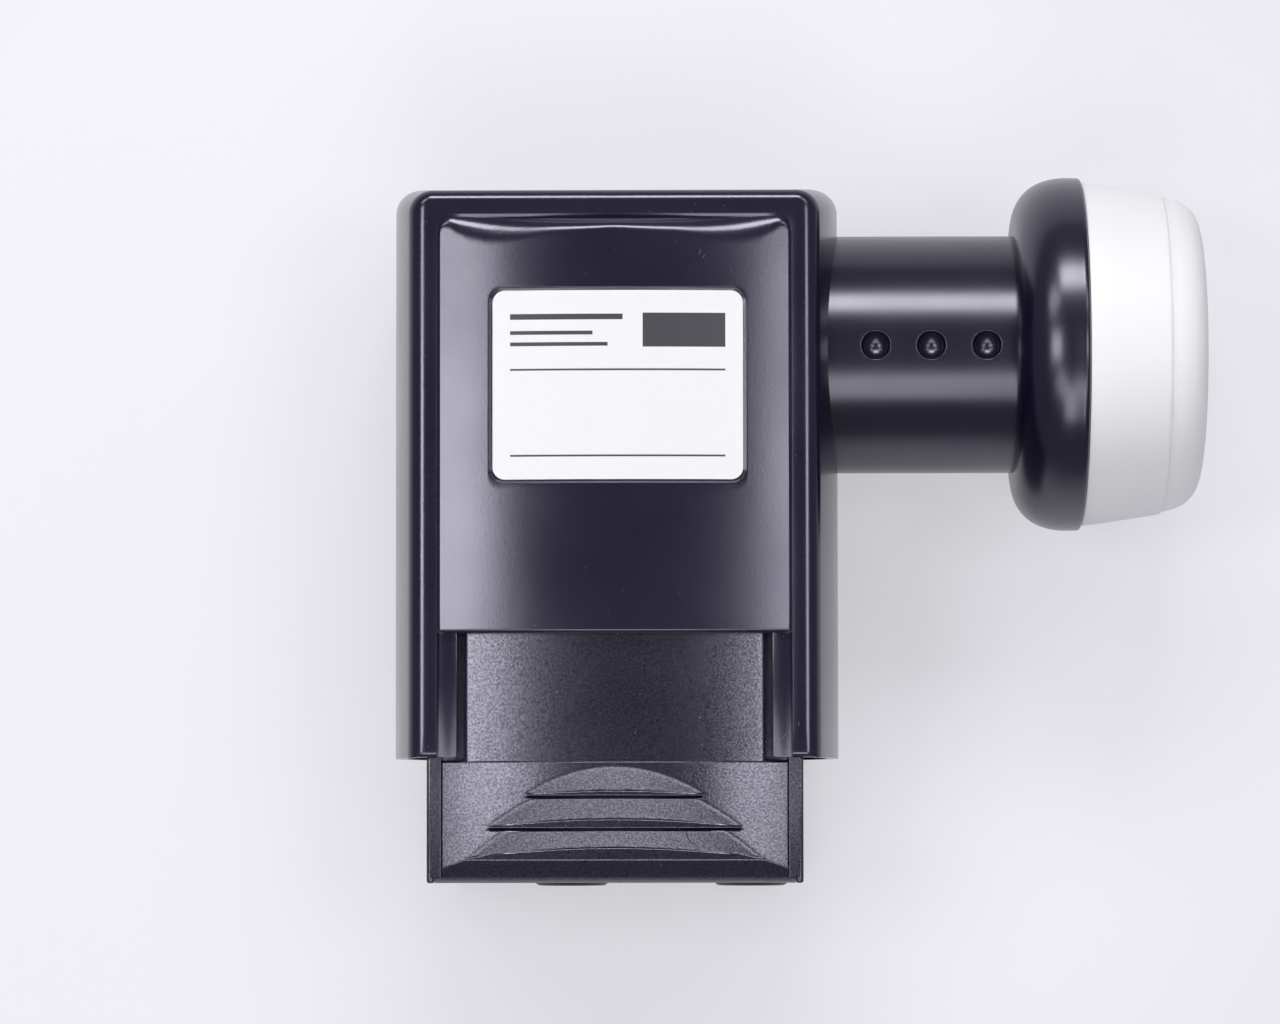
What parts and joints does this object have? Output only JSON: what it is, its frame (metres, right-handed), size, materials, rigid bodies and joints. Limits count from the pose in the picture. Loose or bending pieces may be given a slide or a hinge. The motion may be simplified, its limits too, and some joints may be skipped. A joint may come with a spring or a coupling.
{
  "type": "satellite dish low-noise block",
  "caption": "Black satellite LNB with a round clamp neck, white feed cap and a sliding weather shield over its screw sockets.",
  "frame": {"origin": "centre of the neck that a dish clamp grips, on the neck axis", "axes": "+X along the neck towards the feed cap, +Y away from the sockets, +Z out of the label side"},
  "size_m": [0.1359, 0.1191, 0.0606],
  "materials": {
    "cover_black": "satin moulded black plastic",
    "shield_black": "fine-grained black plastic",
    "neck_black": "smooth semi-gloss black plastic",
    "cap_white": "smooth white plastic",
    "label_white": "white film sticker",
    "dust_black": "soft black plastic",
    "cast_metal": "as-cast",
    "socket_metal": "nickel plated",
    "dielectric": "white dielectric",
    "contact_brass": "plated brass",
    "seal_rubber": "soft seal",
    "screw_steel": "zinc plated",
    "board_green": "laminate with solder mask",
    "component_dark": "moulded components"
  },
  "bodies": {
    "housing": {"board_screws": "screw_steel", "cap_seal": "seal_rubber", "capacitors": "component_dark", "chassis": "cast_metal", "chassis_lid": "cast_metal", "circuit_board": "board_green", "cover_screws": "screw_steel", "crystal": "component_dark", "f_connector_1": "socket_metal", "f_connector_2": "socket_metal", "f_connector_3": "socket_metal", "f_connector_4": "socket_metal", "f_contact_1": "contact_brass", "f_contact_2": "contact_brass", "f_contact_3": "contact_brass", "f_contact_4": "contact_brass", "f_insulator_1": "dielectric", "f_insulator_2": "dielectric", "f_insulator_3": "dielectric", "f_insulator_4": "dielectric", "feed_cap": "cap_white", "feed_horn": "cast_metal", "front_cover": "cover_black", "horn_collar": "neck_black", "horn_screws": "screw_steel", "inductors": "component_dark", "label": "label_white", "lid_gasket": "seal_rubber", "lid_screws": "screw_steel", "lna_transistors": "component_dark", "neck_sleeve": "neck_black", "probe_beads": "dielectric", "probe_horizontal": "contact_brass", "probe_vertical": "contact_brass", "rear_cover": "cover_black", "regulator": "component_dark", "shield_can": "socket_metal", "tuner_chip": "component_dark"},
    "weather_shield": {"weather_shield": "shield_black"},
    "dust_cap_2": {"dust_cap_2": "dust_black"},
    "dust_cap_4": {"dust_cap_4": "dust_black"}
  },
  "joints": [
    {"name": "shield_slide", "type": "slide", "parent": "housing", "child": "weather_shield", "axis": [0, 1, 0], "range_m": [0, 0.0203]},
    {"name": "dust_cap_2_pull", "type": "slide", "parent": "housing", "child": "dust_cap_2", "axis": [0, -1, 0], "range_m": [0, 0.016]},
    {"name": "dust_cap_4_pull", "type": "slide", "parent": "housing", "child": "dust_cap_4", "axis": [0, -1, 0], "range_m": [0, 0.016]}
  ]
}
